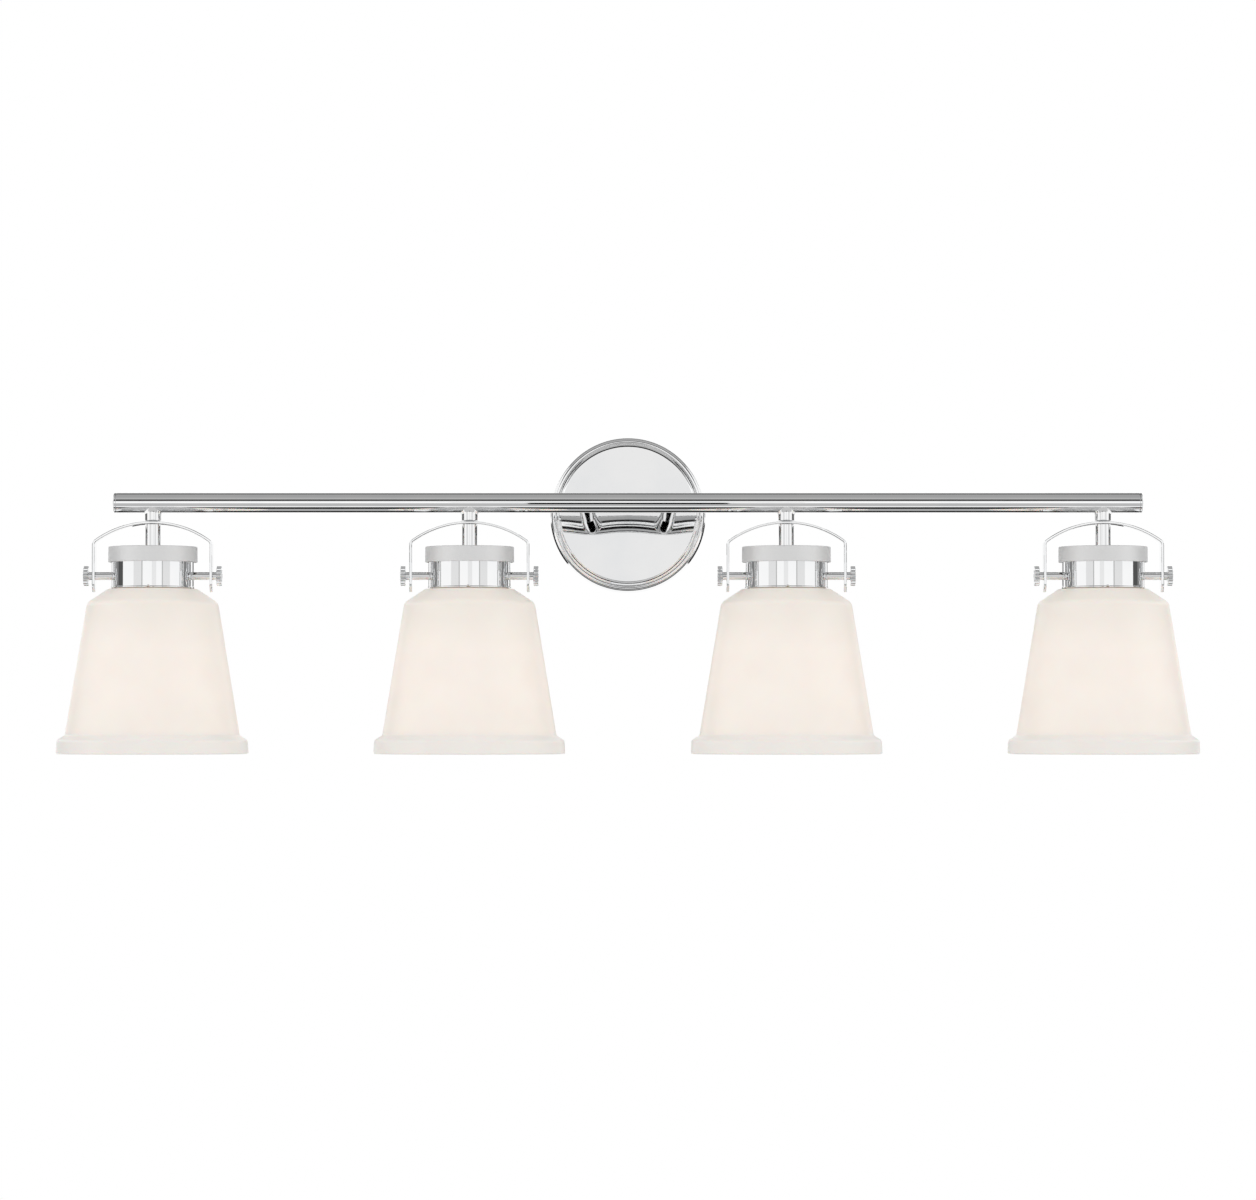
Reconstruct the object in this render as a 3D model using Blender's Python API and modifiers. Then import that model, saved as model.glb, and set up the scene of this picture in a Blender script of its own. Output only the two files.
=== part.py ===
"""Wall-mounted vanity light bar: four opal glass bell shades under one chrome tube.

Frame: the origin is the centre of the backplate on the wall plane, +Z up, +X along the
bar, and the lights stand out towards -Y. Lengths below are in millimetres.

    backplate       a stepped round pan that covers the wall box, held on a crossbar
                    by one set screw at each side
    arms            two short tubes from the pan to the bar, each with a lock nut
    bar             the long tube, plugged at both ends
    head 1 to 4     collar, strap, stem, cap, holder and socket, drawn together by a
                    threaded nipple; two thumbscrews pass through the strap's legs and
                    the holder and grip the neck of the glass shade
    lead 1 to 4     each socket's wire, through the nipple, the bar and an arm
"""

import math

import bmesh
import bpy
from mathutils import Vector

MM = 0.001
GAP = 0.3                   # between pieces that touch

# Bar and heads
BAR_R = 7.0
BAR_HALF = 366.0
BAR_WALL = 1.2
BAR_OUT = 186.0             # the bar's axis to the wall
HEAD_PITCH = 225.4
HEAD_XS = [HEAD_PITCH * step for step in (-1.5, -0.5, 0.5, 1.5)]
PLUG_FLANGE = 1.6
PLUG_SPIGOT = 8.0

# Backplate and arms; depths are measured from the wall
PAN_DEPTH = 20.0
PAN_R = 58.7
PAN_FACE_R = 50.8
PAN_WALL = 1.2
PAN_LIP_R = 55.8
ARM_X = 30.0
ARM_R = 5.9
ARM_BORE = 3.5
SPIGOT_R = 4.8
SPIGOT_END = 12.0
NUT_ACROSS = 16.0
NUT_THICK = 4.0
CROSSBAR_HALF = 53.0
CROSSBAR_WIDTH = 20.0
CROSSBAR_THICK = 2.0
CROSSBAR_EAR = 12.0
SLOT_X = 39.7               # middle of the slots for 2-3/4 in and 3-1/2 in wall boxes
SLOT_TRAVEL = 9.6
SLOT_R = 2.4
SET_SCREW_R = 2.0
SET_SCREW_DEPTH = 7.0
SET_SCREW_HEAD = 58.1       # its outer end, just inside the pan's skin
SET_SCREW_TIP = 49.4
GROUND_X = 14.0
GROUND_HEAD_R = 3.8
GROUND_SHANK_R = 1.9
GROUND_HOLE_R = 2.2

# Stack of one head, as heights below the bar's axis
COLLAR_R = 5.7
COLLAR_END = 12.8
STRAP_THICK = 1.2
STRAP_WIDTH = 12.0
STRAP_LEG_X = 42.1
STRAP_CROWN_R = 69.0
STRAP_BEND_R = 3.8
STRAP_END = 63.6
STEM_R = 5.4
STEM_END = 30.8
CAP_R = 31.6
CAP_TOP = 31.1
CAP_END = 42.3
CAP_WALL = 1.2
HOLDER_R = 29.2
HOLDER_END = 60.8
HOLDER_WALL = 1.0
SCREW_AXIS = 52.1
NIPPLE_R = 4.0
NIPPLE_BORE = 2.6
NIPPLE_TOP = 6.4
NIPPLE_END = 40.0
LEAD_R = 1.2
LEAD_STEPS = (0.0, 0.35, 0.65, 0.88, 1.0)   # places along the arm that the wire's curve goes through

# Thumbscrew, along its own axis from the middle of the head
SHANK_R = 2.75
SHANK_TIP = 26.4
KNOB_R = 7.1
KNOB_IN = 45.6
KNOB_OUT = 49.0

# Shade, as (radius, height) points from the neck's lip down the outside and back up inside
SHADE_NECK = [(27.5, -46.0), (27.5, -48.4), (26.0, -49.4), (26.0, -61.3)]
SHADE_BELL = [(31.4, -61.3), (44.5, -70.0), (46.5, -72.5), (47.8, -77.9), (61.9, -165.2)]
SHADE_RIM = [(64.3, -166.7), (67.2, -168.9), (68.1, -172.4), (68.1, -177.4), (66.9, -178.6)]
SHADE_INSIDE = [(63.4, -178.6), (60.0, -171.0), (57.6, -163.5), (43.8, -78.9), (41.6, -74.6),
                (28.6, -65.2), (22.4, -62.5), (22.4, -46.0)]

# Socket and lamp
SOCKET_R = 17.5
SOCKET_HUB_R = 8.0
SOCKET_TOP = 34.2
SOCKET_HUB_FLOOR = 40.4     # the nipple ends just above it
SOCKET_BODY = 38.5
SOCKET_END = 72.0
SOCKET_BORE = 13.9
SOCKET_FLOOR = 44.0
LAMP_END = 152.0
LAMP_R = 30.0
LAMP_WALL = 1.0
LAMP_BASE = [(6.0, -46.0), (13.2, -51.5), (13.2, -72.0), (15.0, -77.0), (19.0, -92.0)]
LAMP_INSIDE = [(12.2, -74.0), (12.2, -52.5), (2.0, -47.5), (2.0, -46.0)]

SMOOTH_ANGLE = math.radians(35)

# Sides of a turned piece
COARSE = 12
ROUND = 20
BELL = 24
FINE = 32

PARTS = None
CUTTERS = None
MATERIALS = {}


def clear_scene():
    for thing in list(bpy.data.objects):
        bpy.data.objects.remove(thing, do_unlink=True)


def new_collection(name):
    group = bpy.data.collections.new(name)
    bpy.context.scene.collection.children.link(group)
    return group


def make_material(name, color, roughness, metallic):
    material = bpy.data.materials.new(name)
    material.use_nodes = True
    shader = material.node_tree.nodes["Principled BSDF"]
    shader.inputs["Base Color"].default_value = (*color, 1.0)
    shader.inputs["Roughness"].default_value = roughness
    shader.inputs["Metallic"].default_value = metallic
    MATERIALS[name] = material


def make_materials():
    make_material("chrome", (0.78, 0.79, 0.80), 0.05, 1.0)
    make_material("satin_grey", (0.60, 0.60, 0.60), 0.45, 0.6)
    make_material("opal_glass", (0.91, 0.87, 0.80), 0.25, 0.0)
    make_material("lamp_glass", (0.95, 0.94, 0.90), 0.35, 0.0)
    make_material("phenolic", (0.03, 0.03, 0.03), 0.45, 0.0)
    make_material("zinc_steel", (0.55, 0.56, 0.58), 0.35, 1.0)
    make_material("lead_white", (0.80, 0.80, 0.78), 0.40, 0.0)
    make_material("ground_green", (0.03, 0.28, 0.09), 0.40, 0.3)


def add_object(name, mesh, material, parent=None, at=(0, 0, 0), turn=(0, 0, 0)):
    """A node in the parts collection. at is in millimetres and turn in degrees, both under the parent."""
    node = bpy.data.objects.new(name, mesh)
    mesh.materials.clear()
    mesh.materials.append(MATERIALS[material])
    PARTS.objects.link(node)
    node.parent = parent
    node.location = Vector(at) * MM
    node.rotation_euler = [math.radians(angle) for angle in turn]
    return node


def add_empty(name, at):
    empty = bpy.data.objects.new(name, None)
    PARTS.objects.link(empty)
    empty.location = Vector(at) * MM
    return empty


def line_mesh(name, points, closed):
    """A mesh of edges only, through (x, z) points in millimetres."""
    mesh = bpy.data.meshes.new(name)
    count = len(points)
    edges = [(i, i + 1) for i in range(count - 1)]
    if closed:
        edges.append((count - 1, 0))
    mesh.from_pydata([(x * MM, 0.0, z * MM) for x, z in points], edges, [])
    return mesh


def turned(name, profile, material, steps, closed=True, **place):
    """A profile of (radius, height) points, down the outer side first, spun about the local Z axis."""
    node = add_object(name, line_mesh(name, profile, closed), material, **place)
    spin = node.modifiers.new("Spin", "SCREW")
    spin.steps = steps
    spin.render_steps = steps
    spin.use_merge_vertices = True
    spin.merge_threshold = 0.00001
    return node


def ring(outer, inner, top, bottom):
    """The profile of a plain ring."""
    return [(outer, top), (outer, bottom), (inner, bottom), (inner, top)]


def arc(centre, radius, start, end, count):
    """Points along an arc about centre (x, z), with the angles in degrees from +X."""
    points = []
    for i in range(count):
        angle = math.radians(start + (end - start) * i / (count - 1))
        points.append((centre[0] + radius * math.cos(angle), centre[1] + radius * math.sin(angle)))
    return points


def bent_strip(name, path, width, thickness, material, **place):
    """Flat strip metal that follows (x, z) points, with its width along the local Y axis."""
    mesh = line_mesh(name, path, closed=False)
    shape = bmesh.new()
    shape.from_mesh(mesh)
    bmesh.ops.translate(shape, vec=(0, -width / 2 * MM, 0), verts=shape.verts)
    swept = bmesh.ops.extrude_edge_only(shape, edges=shape.edges[:])["geom"]
    moved = [part for part in swept if isinstance(part, bmesh.types.BMVert)]
    bmesh.ops.translate(shape, vec=(0, width * MM, 0), verts=moved)
    bmesh.ops.recalc_face_normals(shape, faces=shape.faces)
    shape.to_mesh(mesh)
    shape.free()
    node = add_object(name, mesh, material, **place)
    solid = node.modifiers.new("Thickness", "SOLIDIFY")
    solid.thickness = thickness * MM
    solid.offset = 0.0
    solid.use_even_offset = True
    return node


def hex_prism(name, across, thickness, material, **place):
    """A hexagon standing on the local XY plane, flats across apart."""
    mesh = bpy.data.meshes.new(name)
    shape = bmesh.new()
    corner = across / math.sqrt(3) * MM
    bmesh.ops.create_cone(shape, cap_ends=True, segments=6, radius1=corner, radius2=corner,
                          depth=thickness * MM)
    bmesh.ops.translate(shape, vec=(0, 0, thickness / 2 * MM), verts=shape.verts)
    shape.to_mesh(mesh)
    shape.free()
    return add_object(name, mesh, material, **place)


def rod_cutter(name, radius, start, end, steps=COARSE):
    """A cylinder between two points in world millimetres, which only cuts."""
    start = Vector(start) * MM
    end = Vector(end) * MM
    mesh = bpy.data.meshes.new(name)
    shape = bmesh.new()
    bmesh.ops.create_cone(shape, cap_ends=True, segments=steps, radius1=radius * MM,
                          radius2=radius * MM, depth=(end - start).length)
    shape.to_mesh(mesh)
    shape.free()
    cutter = bpy.data.objects.new(name, mesh)
    CUTTERS.objects.link(cutter)
    cutter.location = (start + end) / 2
    cutter.rotation_euler = (end - start).to_track_quat("Z", "Y").to_euler()
    cutter.hide_render = True
    cutter.display_type = "WIRE"
    return cutter


def cut(node, *cutters):
    for cutter in cutters:
        step = node.modifiers.new(f"Cut {cutter.name}", "BOOLEAN")
        step.operation = "DIFFERENCE"
        step.object = cutter


def slot_cutter(name, middle, travel, radius, start_y, end_y):
    """The block and the two end rods that together cut a round-ended slot along X."""
    ends = []
    for side, x in (("a", middle - travel / 2), ("b", middle + travel / 2)):
        ends.append(rod_cutter(f"{name}_{side}", radius, (x, start_y, 0), (x, end_y, 0)))
    mesh = bpy.data.meshes.new(name)
    shape = bmesh.new()
    bmesh.ops.create_cube(shape, size=1.0)
    depth = abs(end_y - start_y)
    bmesh.ops.scale(shape, vec=(travel * MM, depth * MM, 2 * radius * MM), verts=shape.verts)
    shape.to_mesh(mesh)
    shape.free()
    block = bpy.data.objects.new(name, mesh)
    CUTTERS.objects.link(block)
    block.location = Vector((middle, (start_y + end_y) / 2, 0)) * MM
    block.hide_render = True
    block.display_type = "WIRE"
    return [block] + ends


def make_bar():
    wall = ring(BAR_R, BAR_R - BAR_WALL, BAR_HALF - PLUG_FLANGE - GAP, -BAR_HALF + PLUG_FLANGE + GAP)
    bar = turned("bar", wall, "chrome", ROUND, at=(0, -BAR_OUT, 0), turn=(0, 90, 0))
    for number, x in enumerate(HEAD_XS, 1):
        cut(bar, rod_cutter(f"bar_hole_{number}", NIPPLE_R + GAP,
                            (x, -BAR_OUT, -BAR_R - 2), (x, -BAR_OUT, -2)))
    for side, sign in (("left", -1), ("right", 1)):
        cut(bar, rod_cutter(f"bar_arm_hole_{side}", ARM_BORE,
                            (sign * ARM_X, -BAR_OUT + 2, 0), (sign * ARM_X, -BAR_OUT + BAR_R + 2, 0)))
        spigot = BAR_R - BAR_WALL - GAP
        plug = [(0, BAR_HALF), (BAR_R - 0.7, BAR_HALF), (BAR_R, BAR_HALF - 0.7),
                (BAR_R, BAR_HALF - PLUG_FLANGE), (spigot, BAR_HALF - PLUG_FLANGE),
                (spigot, BAR_HALF - PLUG_SPIGOT), (0, BAR_HALF - PLUG_SPIGOT)]
        turned(f"end_plug_{side}", plug, "chrome", ROUND, closed=False,
               at=(0, -BAR_OUT, 0), turn=(0, 90 * sign, 0))


def pan_profile():
    """The backplate from the middle of its face, over the stepped rim, round the lip and back inside."""
    outside = [(0, PAN_DEPTH), (PAN_FACE_R, PAN_DEPTH), (PAN_FACE_R + 0.9, PAN_DEPTH - 0.5),
               (PAN_FACE_R + 1.4, PAN_DEPTH - 2.4), (PAN_FACE_R + 2.2, PAN_DEPTH - 3.1)]
    bead = arc((PAN_R - 3.9, PAN_DEPTH - 5.5), 2.7, 90, 20, 4)
    inside = [(PAN_R, 0), (PAN_LIP_R, 0), (PAN_LIP_R, PAN_WALL), (PAN_R - PAN_WALL - 0.1, PAN_WALL),
              (PAN_R - 2.4, PAN_DEPTH - 6.0), (PAN_R - 4.2, PAN_DEPTH - 4.4),
              (PAN_FACE_R + 0.6, PAN_DEPTH - 4.3), (PAN_FACE_R - 0.4, PAN_DEPTH - PAN_WALL),
              (0, PAN_DEPTH - PAN_WALL)]
    return outside + bead + inside


def make_backplate():
    """The pan with its arms and set screws. Returns the cutters of its two screw holes."""
    plate = turned("backplate", pan_profile(), "chrome", FINE, closed=False, turn=(90, 0, 0))
    screw_holes = []
    for side, sign in (("left", -1), ("right", 1)):
        x = sign * ARM_X
        cut(plate, rod_cutter(f"plate_arm_hole_{side}", SPIGOT_R + GAP,
                              (x, -PAN_DEPTH - 2, 0), (x, -SPIGOT_END, 0)))
        screw_hole = rod_cutter(f"plate_screw_hole_{side}", SET_SCREW_R + GAP,
                                (sign * (PAN_R + 3), -SET_SCREW_DEPTH, 0),
                                (sign * (PAN_R - 14), -SET_SCREW_DEPTH, 0))
        cut(plate, screw_hole)
        screw_holes.append(screw_hole)
        make_arm(side, sign)
        screw = [(0, SET_SCREW_HEAD), (SET_SCREW_R, SET_SCREW_HEAD), (SET_SCREW_R, SET_SCREW_TIP + 1),
                 (SET_SCREW_R - 1.2, SET_SCREW_TIP), (0, SET_SCREW_TIP)]
        turned(f"set_screw_{side}", screw, "zinc_steel", COARSE, closed=False,
               at=(0, -SET_SCREW_DEPTH, 0), turn=(0, 90 * sign, 0))
    return screw_holes


def make_arm(side, sign):
    x = sign * ARM_X
    face = PAN_DEPTH + GAP
    profile = [(ARM_R, BAR_OUT - 2), (ARM_R, face), (SPIGOT_R, face), (SPIGOT_R, SPIGOT_END),
               (ARM_BORE, SPIGOT_END), (ARM_BORE, BAR_OUT - 2)]
    arm = turned(f"arm_{side}", profile, "chrome", ROUND, at=(x, 0, 0), turn=(90, 0, 0))
    cut(arm, rod_cutter(f"arm_saddle_{side}", BAR_R + GAP,
                        (x - 12, -BAR_OUT, 0), (x + 12, -BAR_OUT, 0), FINE))
    back = PAN_DEPTH - PAN_WALL - GAP
    nut = hex_prism(f"arm_nut_{side}", NUT_ACROSS, NUT_THICK, "zinc_steel",
                    at=(x, -back + NUT_THICK, 0), turn=(90, 0, 0))
    cut(nut, rod_cutter(f"nut_bore_{side}", SPIGOT_R + GAP, (x, -back - 2, 0), (x, -back + 6, 0)))


def make_crossbar(screw_holes):
    half = CROSSBAR_HALF - CROSSBAR_THICK / 2
    web = CROSSBAR_THICK / 2
    path = [(-half, CROSSBAR_EAR), (-half, web), (half, web), (half, CROSSBAR_EAR)]
    crossbar = bent_strip("crossbar", path, CROSSBAR_WIDTH, CROSSBAR_THICK, "zinc_steel",
                          turn=(90, 0, 0))
    cut(crossbar, *screw_holes)
    for side, sign in (("left", -1), ("right", 1)):
        cut(crossbar, *slot_cutter(f"crossbar_slot_{side}", sign * SLOT_X, SLOT_TRAVEL, SLOT_R, -4, 2))
    cut(crossbar, rod_cutter("ground_hole", GROUND_HOLE_R, (GROUND_X, -4, 0), (GROUND_X, 2, 0)))
    seat = CROSSBAR_THICK + GAP
    profile = [(0, seat + 2.2), (GROUND_HEAD_R - 1.4, seat + 2.2), (GROUND_HEAD_R, seat + 1.2),
               (GROUND_HEAD_R, seat), (GROUND_SHANK_R, seat), (GROUND_SHANK_R, GAP), (0, GAP)]
    turned("ground_screw", profile, "ground_green", COARSE, closed=False, at=(GROUND_X, 0, 0),
           turn=(90, 0, 0))


def strap_path():
    """Half of the strap's middle line, from the foot of a leg to just short of the crown."""
    lean = math.degrees(math.asin((STRAP_LEG_X - STRAP_BEND_R) / (STRAP_CROWN_R - STRAP_BEND_R)))
    crown = -COLLAR_END - GAP - STRAP_THICK / 2
    middle = (0.0, crown - STRAP_CROWN_R)
    inner = STRAP_CROWN_R - STRAP_BEND_R
    bend = (inner * math.sin(math.radians(lean)), middle[1] + inner * math.cos(math.radians(lean)))
    foot = [(STRAP_LEG_X, -STRAP_END)]
    corner = arc(bend, STRAP_BEND_R, 0, 90 - lean, 4)
    sweep = arc(middle, STRAP_CROWN_R, 90 - lean, 90, 8)
    return foot + corner + sweep[1:]


def make_strap(number, head, x):
    half = strap_path()
    mirrored = [(-across, up) for across, up in reversed(half[:-1])]
    strap = bent_strip(f"strap_{number}", half + mirrored, STRAP_WIDTH, STRAP_THICK, "chrome",
                       parent=head)
    reach = STRAP_LEG_X + 4
    cut(strap,
        rod_cutter(f"strap_crown_hole_{number}", NIPPLE_R + GAP, (x, -BAR_OUT, -9), (x, -BAR_OUT, -19)),
        rod_cutter(f"strap_leg_hole_{number}", SHANK_R + GAP, (x - reach, -BAR_OUT, -SCREW_AXIS),
                   (x + reach, -BAR_OUT, -SCREW_AXIS)))


def make_stack(number, head, x):
    """Collar, stem, cap, holder and nipple: everything between the bar and the glass."""
    bore = NIPPLE_R + GAP
    collar = turned(f"collar_{number}", ring(COLLAR_R, bore, -3.0, -COLLAR_END), "chrome", COARSE,
                    parent=head)
    cut(collar, rod_cutter(f"collar_saddle_{number}", BAR_R + GAP, (x - 9, -BAR_OUT, 0),
                           (x + 9, -BAR_OUT, 0), FINE))
    stem_top = COLLAR_END + STRAP_THICK + 2 * GAP
    turned(f"stem_{number}", ring(STEM_R, bore, -stem_top, -STEM_END), "chrome", COARSE, parent=head)
    inside = CAP_R - CAP_WALL
    cap = [(bore, -CAP_TOP), (CAP_R - 0.8, -CAP_TOP), (CAP_R, -CAP_TOP - 0.8), (CAP_R, -CAP_END),
           (inside, -CAP_END), (inside, -CAP_TOP - CAP_WALL), (bore, -CAP_TOP - CAP_WALL)]
    turned(f"cap_{number}", cap, "satin_grey", ROUND, parent=head)
    top = CAP_TOP + CAP_WALL + GAP
    inside = HOLDER_R - HOLDER_WALL
    cup = [(bore, -top), (HOLDER_R, -top), (HOLDER_R, -HOLDER_END), (inside, -HOLDER_END),
           (inside, -top - HOLDER_WALL), (bore, -top - HOLDER_WALL)]
    holder = turned(f"holder_{number}", cup, "chrome", ROUND, parent=head)
    cut(holder, rod_cutter(f"holder_screw_hole_{number}", SHANK_R + GAP,
                           (x - HOLDER_R - 4, -BAR_OUT, -SCREW_AXIS),
                           (x + HOLDER_R + 4, -BAR_OUT, -SCREW_AXIS)))
    turned(f"nipple_{number}", ring(NIPPLE_R, NIPPLE_BORE, -NIPPLE_TOP, -NIPPLE_END), "zinc_steel", COARSE,
           parent=head)


def make_thumbscrews(number, head):
    for side, sign in (("left", -1), ("right", 1)):
        profile = [(0, KNOB_OUT), (KNOB_R - 0.5, KNOB_OUT), (KNOB_R, KNOB_OUT - 0.5),
                   (KNOB_R, KNOB_IN + 0.5), (KNOB_R - 0.5, KNOB_IN), (SHANK_R, KNOB_IN),
                   (SHANK_R, SHANK_TIP + 0.8), (SHANK_R - 0.8, SHANK_TIP), (0, SHANK_TIP)]
        turned(f"thumbscrew_{side}_{number}", profile, "chrome", COARSE, closed=False, parent=head,
               at=(0, 0, -SCREW_AXIS), turn=(0, 90 * sign, 0))


def make_socket_and_lamp(number, head):
    bore = NIPPLE_R + GAP
    socket = [(0, -SOCKET_HUB_FLOOR), (bore, -SOCKET_HUB_FLOOR), (bore, -SOCKET_TOP),
              (SOCKET_HUB_R, -SOCKET_TOP), (SOCKET_HUB_R, -SOCKET_BODY), (SOCKET_R - 3.5, -SOCKET_BODY),
              (SOCKET_R, -SOCKET_BODY - 3), (SOCKET_R, -SOCKET_END), (SOCKET_BORE, -SOCKET_END),
              (SOCKET_BORE, -SOCKET_FLOOR), (0, -SOCKET_FLOOR)]
    turned(f"socket_{number}", socket, "phenolic", COARSE, closed=False, parent=head)
    middle = (0, -LAMP_END + LAMP_R)
    hollow = [(0, -LAMP_END + LAMP_WALL)] + arc(middle, LAMP_R - LAMP_WALL, -62, 28, 4)
    globe = arc(middle, LAMP_R, 28, -62, 5) + [(0, -LAMP_END)]
    turned(f"bulb_{number}", hollow + LAMP_INSIDE + LAMP_BASE + globe, "lamp_glass", COARSE,
           closed=False, parent=head)


def smooth_route(corners, per_span):
    """Points along a Catmull-Rom curve through the corners."""
    corners = [Vector(corner) for corner in corners]
    padded = [2 * corners[0] - corners[1]] + corners + [2 * corners[-1] - corners[-2]]
    route = []
    for a, b, c, d in zip(padded, padded[1:], padded[2:], padded[3:]):
        for i in range(per_span):
            t = i / per_span
            route.append(0.5 * (2 * b + (c - a) * t + (2 * a - 5 * b + 4 * c - d) * t ** 2
                                + (3 * b - a - 3 * c + d) * t ** 3))
    return route + [corners[-1]]


def make_lead(number, x):
    """One socket's wire. The outer head's lies above the inner head's in the bar and in the arm."""
    sign = 1 if x > 0 else -1
    outer = abs(x) > HEAD_PITCH
    up = 1.9 if outer else -1.9
    arm = sign * ARM_X
    tail = 6.0 if outer else -6.0
    front, back = -BAR_OUT + 10, -SPIGOT_END - 3
    in_arm = [(arm, front + (back - front) * share, up) for share in LEAD_STEPS]
    corners = [(x, -BAR_OUT, -NIPPLE_END + 0.5), (x, -BAR_OUT, -8), (x - sign * 4, -BAR_OUT, up - 0.7),
               (x - sign * 14, -BAR_OUT, up), (arm + sign * 12, -BAR_OUT, up),
               (arm + sign * 2, -BAR_OUT + 2, up), *in_arm, (arm - sign * 3, -SPIGOT_END + 3, up),
               (arm - sign * 13, -SPIGOT_END + 4.5, tail)]
    curve = bpy.data.curves.new(f"lead_{number}", "CURVE")
    curve.dimensions = "3D"
    curve.bevel_depth = LEAD_R * MM
    curve.bevel_resolution = 2
    curve.use_fill_caps = True
    spline = curve.splines.new("POLY")
    route = smooth_route(corners, 2)
    spline.points.add(len(route) - 1)
    for point, place in zip(spline.points, route):
        point.co = (*(place * MM), 1.0)
    lead = bpy.data.objects.new(f"lead_{number}", curve)
    curve.materials.append(MATERIALS["lead_white"])
    PARTS.objects.link(lead)


def make_head(number, x):
    head = add_empty(f"head_{number}", (x, -BAR_OUT, 0))
    make_stack(number, head, x)
    make_strap(number, head, x)
    make_thumbscrews(number, head)
    turned(f"shade_{number}", SHADE_NECK + SHADE_BELL + SHADE_RIM + SHADE_INSIDE, "opal_glass", BELL,
           parent=head)
    make_socket_and_lamp(number, head)
    make_lead(number, x)


def smooth_round_pieces():
    """Gives each turned piece its finished mesh, shaded smooth but for its real corners."""
    graph = bpy.context.evaluated_depsgraph_get()
    finished = {}
    for node in PARTS.objects:
        if node.type == "MESH" and node.modifiers:
            finished[node] = bpy.data.meshes.new_from_object(node.evaluated_get(graph))
    for node, mesh in finished.items():
        node.modifiers.clear()
        mesh.shade_smooth()
        mesh.set_sharp_from_angle(angle=SMOOTH_ANGLE)
        mesh.name = node.name
        node.data = mesh


def main():
    global PARTS, CUTTERS
    clear_scene()
    PARTS = new_collection("vanity_light_bar")
    CUTTERS = new_collection("cutters")
    make_materials()
    make_bar()
    screw_holes = make_backplate()
    make_crossbar(screw_holes)
    for number, x in enumerate(HEAD_XS, 1):
        make_head(number, x)
    smooth_round_pieces()


main()
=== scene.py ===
"""The looks of a four-light vanity bar in polished chrome and opal glass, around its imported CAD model.

Every place comes from the frame's nodes, every outline is turned or swept here, and each
material is named for what the real one is. Lengths in this file are in millimetres
until mm() turns them into metres.
"""

import math

import bmesh
import bpy
from mathutils import Matrix, Vector


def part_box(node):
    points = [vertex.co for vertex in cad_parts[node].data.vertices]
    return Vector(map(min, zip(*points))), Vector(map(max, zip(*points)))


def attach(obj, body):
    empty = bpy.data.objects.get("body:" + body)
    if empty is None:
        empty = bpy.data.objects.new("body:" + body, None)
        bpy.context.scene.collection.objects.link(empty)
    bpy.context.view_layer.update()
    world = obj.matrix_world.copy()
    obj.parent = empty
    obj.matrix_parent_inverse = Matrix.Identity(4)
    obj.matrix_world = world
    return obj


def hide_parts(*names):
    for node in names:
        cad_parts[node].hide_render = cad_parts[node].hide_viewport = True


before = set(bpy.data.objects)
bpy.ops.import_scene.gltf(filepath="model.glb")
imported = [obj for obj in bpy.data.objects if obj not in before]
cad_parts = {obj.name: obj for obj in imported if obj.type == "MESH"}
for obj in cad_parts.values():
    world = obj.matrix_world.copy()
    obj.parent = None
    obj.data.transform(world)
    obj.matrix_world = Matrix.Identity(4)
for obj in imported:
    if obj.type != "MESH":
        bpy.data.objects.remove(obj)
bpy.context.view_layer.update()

HEADS = (1, 2, 3, 4)
SIDES = (("left", -1), ("right", 1))


# ---------------------------------------------------------------- the frame's places

def node_box(name):
    """Lowest and highest corner of a CAD node, in millimetres."""
    low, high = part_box(name)
    return Vector(low) * 1000, Vector(high) * 1000


def middle_of(name):
    low, high = node_box(name)
    return (low + high) / 2


def width_of(name, axis):
    low, high = node_box(name)
    return high[axis] - low[axis]


BAR = middle_of("bar")
BAR_R = width_of("bar", 2) / 2
BAR_OUT = -BAR.y
HEAD_X = {n: middle_of(f"shade_{n}").x for n in HEADS}
GAP = 0.12                  # a hairline between pieces that touch
STRAP_THICK = 1.9           # the stem starts under it
NECK_DEPTH = 15.3           # from the shade's top to its shoulder


# ---------------------------------------------------------------- colour and node helpers

def srgb(code):
    """A hex colour such as d8d5ce as linear RGBA."""
    channels = []
    for i in (0, 2, 4):
        value = int(code[i:i + 2], 16) / 255
        channels.append(value / 12.92 if value <= 0.04045 else ((value + 0.055) / 1.055) ** 2.4)
    return (*channels, 1.0)


def add_node(tree, kind, links=(), **settings):
    """A node of that kind. settings are its own properties, and inputs its sockets by index or name."""
    node = tree.nodes.new(kind)
    for key, value in settings.pop("inputs", {}).items():
        node.inputs[key].default_value = value
    for key, value in settings.items():
        setattr(node, key, value)
    for output, key in links:
        tree.links.new(output, node.inputs[key])
    return node


def ramp(tree, factor, *stops):
    """A colour ramp through (place, hex colour) stops."""
    node = add_node(tree, "ShaderNodeValToRGB", links=[(factor, "Fac")])
    elements = node.color_ramp.elements
    while len(elements) < len(stops):
        elements.new(1.0)
    for element, (place, code) in zip(elements, stops):
        element.position = place
        element.color = srgb(code)
    return node.outputs["Color"]


def spread(tree, factor, low, high):
    """factor from 0..1 spread over low..high."""
    node = add_node(tree, "ShaderNodeMapRange", links=[(factor, "Value")],
                    inputs={"To Min": low, "To Max": high})
    return node.outputs["Result"]


def new_material(name, **sockets):
    """A material, its tree and its Principled shader, which has these constant socket values."""
    material = bpy.data.materials.new(name)
    material.use_nodes = True
    tree = material.node_tree
    shader = tree.nodes["Principled BSDF"]
    for key, value in sockets.items():
        shader.inputs[key.replace("_", " ")].default_value = value
    return material, tree, shader


def noise(tree, place, size_mm, detail=2.0, roughness=0.5):
    """Noise whose blobs are about size_mm across, from 0 to 1."""
    node = add_node(tree, "ShaderNodeTexNoise", links=[(place, "Vector")],
                    inputs={"Scale": 1000 / size_mm, "Detail": detail, "Roughness": roughness})
    return node.outputs["Fac"]


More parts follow.
